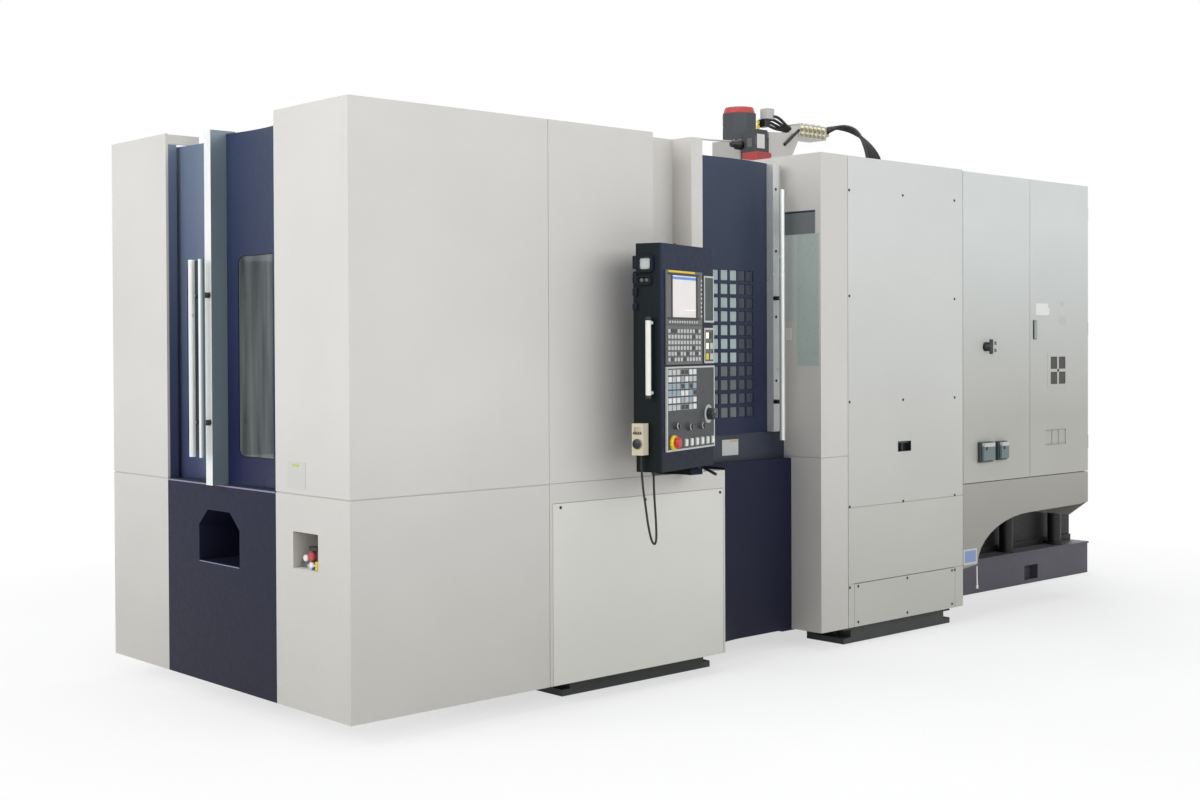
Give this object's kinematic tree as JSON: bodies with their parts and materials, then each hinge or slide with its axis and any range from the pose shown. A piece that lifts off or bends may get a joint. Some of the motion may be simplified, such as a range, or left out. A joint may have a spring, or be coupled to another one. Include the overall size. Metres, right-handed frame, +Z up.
{
  "type": "horizontal machining center",
  "caption": "Enclosed horizontal machining center with sliding doors, pallet changer, swivelling operator panel, moving table and column, cabinet and coolant tank.",
  "frame": {"origin": "centre of the base of the overall box, on the floor", "axes": "+X along the machine from the pallet changer to the rear end, +Y from the operator side to the far side, +Z up"},
  "size_m": [6.496, 2.7494, 2.946],
  "materials": {
    "apron_blue": "dark blue paint",
    "beige_plastic": "matt beige",
    "black_iron": "black paint",
    "black_plastic": "matt black",
    "cast": "painted casting",
    "cover_beige": "semi-gloss light warm grey paint",
    "door_blue": "dark blue paint",
    "glass": "laminated safety glass",
    "grey_plastic": "matt grey",
    "hose": "black rubber",
    "panel_beige": "semi-gloss light grey paint",
    "panel_dark": "matt dark grey paint",
    "red_plastic": "gloss red",
    "steel": "ground and brushed",
    "tank": "grey violet paint",
    "white_plastic": "gloss white"
  },
  "bodies": {
    "machine_frame": {"bed": "cast", "corner_cover": "cover_beige", "corner_cover_lower": "cover_beige", "far_cover": "cover_beige", "front_apron": "apron_blue", "side_cover": "cover_beige", "side_cover_lower": "cover_beige", "side_service_panel": "panel_beige", "operator_apron": "apron_blue", "door_tracks": "black_iron", "mid_corner_cover": "cover_beige", "mid_service_panel": "panel_beige", "mid_kick_panel": "panel_beige", "far_side_cover": "cover_beige", "top_covers": "cover_beige", "inner_partition": "cover_beige", "cabinet_body": "cover_beige", "cabinet_skirt": "cover_beige", "servo_drives": "grey_plastic", "coolant_tank": "tank", "rear_housing": "panel_dark", "magazine_stand": "cast", "panel_bracket": "black_iron", "cover_screws": "black_iron", "regulator": "steel"},
    "near_front_door": {"near_door": "door_blue", "near_window": "glass", "near_pull": "steel"},
    "far_front_door": {"far_door": "door_blue", "far_window": "glass", "far_pull": "steel"},
    "operator_door": {"operator_door": "door_blue", "operator_window": "glass", "operator_pull": "steel"},
    "cabinet_left_door": {"cabinet_door_left": "panel_beige"},
    "main_switch": {"main_switch": "black_plastic"},
    "cabinet_right_door": {"cabinet_door_right": "panel_beige"},
    "cabinet_latch": {"cabinet_latch": "black_plastic"},
    "operator_panel": {"panel_shell": "panel_dark", "screen_unit": "grey_plastic", "keyboard": "grey_plastic", "operation_panel": "grey_plastic", "panel_grip": "white_plastic", "handwheel_unit": "beige_plastic", "handwheel_cable": "hose"},
    "emergency_stop": {"emergency_stop": "red_plastic"},
    "override_knob": {"override_knob": "black_plastic"},
    "pallet_changer": {"changer_arm": "steel", "pallet_front": "steel"},
    "table_saddle": {"table_saddle": "steel"},
    "rotary_table": {"rotary_table": "steel", "pallet_work": "steel"},
    "column": {"column": "cast", "servo_motor": "grey_plastic", "column_bracket": "cover_beige", "hose_bundle": "hose"},
    "spindle_head": {"spindle_head": "steel"},
    "spindle": {"spindle": "steel"},
    "tool_magazine": {"tool_magazine": "steel"},
    "tool_arm": {"tool_arm": "steel"}
  },
  "joints": [
    {"name": "near_front_door_slide", "type": "slide", "parent": "machine_frame", "child": "near_front_door", "axis": [0, -1, 0], "range_m": [0, 0.405]},
    {"name": "far_front_door_slide", "type": "slide", "parent": "machine_frame", "child": "far_front_door", "axis": [0, 1, 0], "range_m": [0, 0.405]},
    {"name": "operator_door_slide", "type": "slide", "parent": "machine_frame", "child": "operator_door", "axis": [-1, 0, 0], "range_m": [0, 0.7]},
    {"name": "cabinet_left_door_hinge", "type": "hinge", "parent": "machine_frame", "child": "cabinet_left_door", "pos_m": [0.976, -1.02527, 1.67], "axis": [0, 0, -1], "range_deg": [0, 105]},
    {"name": "main_switch_turn", "type": "hinge", "parent": "cabinet_left_door", "child": "main_switch", "pos_m": [1.194, -1.02527, 1.56], "axis": [0, -1, 0], "range_deg": [0, 90]},
    {"name": "cabinet_right_door_hinge", "type": "hinge", "parent": "machine_frame", "child": "cabinet_right_door", "pos_m": [2.312, -1.02527, 1.67], "axis": [0, 0, 1], "range_deg": [0, 105]},
    {"name": "cabinet_latch_lift", "type": "hinge", "parent": "cabinet_right_door", "child": "cabinet_latch", "pos_m": [1.707, -1.02942, 1.60585], "axis": [1, 0, 0], "range_deg": [0, 70]},
    {"name": "operator_panel_swivel", "type": "hinge", "parent": "machine_frame", "child": "operator_panel", "pos_m": [-1.319, -1.10527, 1.024], "axis": [0, 0, 1], "range_deg": [-18, 45]},
    {"name": "emergency_stop_push", "type": "slide", "parent": "operator_panel", "child": "emergency_stop", "axis": [-0.3214, 0.9469, 0], "range_m": [0, 0.005]},
    {"name": "override_knob_turn", "type": "hinge", "parent": "operator_panel", "child": "override_knob", "pos_m": [-1.31269, -1.21718, 1.262], "axis": [-0.3214, 0.9469, 0], "range_deg": [-135, 135]},
    {"name": "pallet_changer_turn", "type": "hinge", "parent": "machine_frame", "child": "pallet_changer", "pos_m": [-1.986, -0.00527, 0.99], "axis": [0, 0, 1], "range_deg": [0, 180]},
    {"name": "table_travel", "type": "slide", "parent": "machine_frame", "child": "table_saddle", "axis": [1, 0, 0], "range_m": [-0.6, 0.1]},
    {"name": "rotary_table_turn", "type": "hinge", "parent": "table_saddle", "child": "rotary_table", "pos_m": [-0.786, -0.00527, 1], "axis": [0, 0, 1], "continuous": true},
    {"name": "column_cross_travel", "type": "slide", "parent": "machine_frame", "child": "column", "axis": [0, 1, 0], "range_m": [-0.35, 0.35]},
    {"name": "spindle_head_travel", "type": "slide", "parent": "column", "child": "spindle_head", "axis": [0, 0, 1], "range_m": [-0.35, 0.4]},
    {"name": "spindle_spin", "type": "hinge", "parent": "spindle_head", "child": "spindle", "pos_m": [-0.366, -0.00527, 1.6], "axis": [1, 0, 0], "continuous": true},
    {"name": "tool_magazine_turn", "type": "hinge", "parent": "machine_frame", "child": "tool_magazine", "pos_m": [-0.086, 1.01473, 1.9], "axis": [1, 0, 0], "continuous": true},
    {"name": "tool_arm_swing", "type": "hinge", "parent": "machine_frame", "child": "tool_arm", "pos_m": [-0.236, 0.61473, 1.9], "axis": [1, 0, 0], "range_deg": [0, 180]}
  ]
}
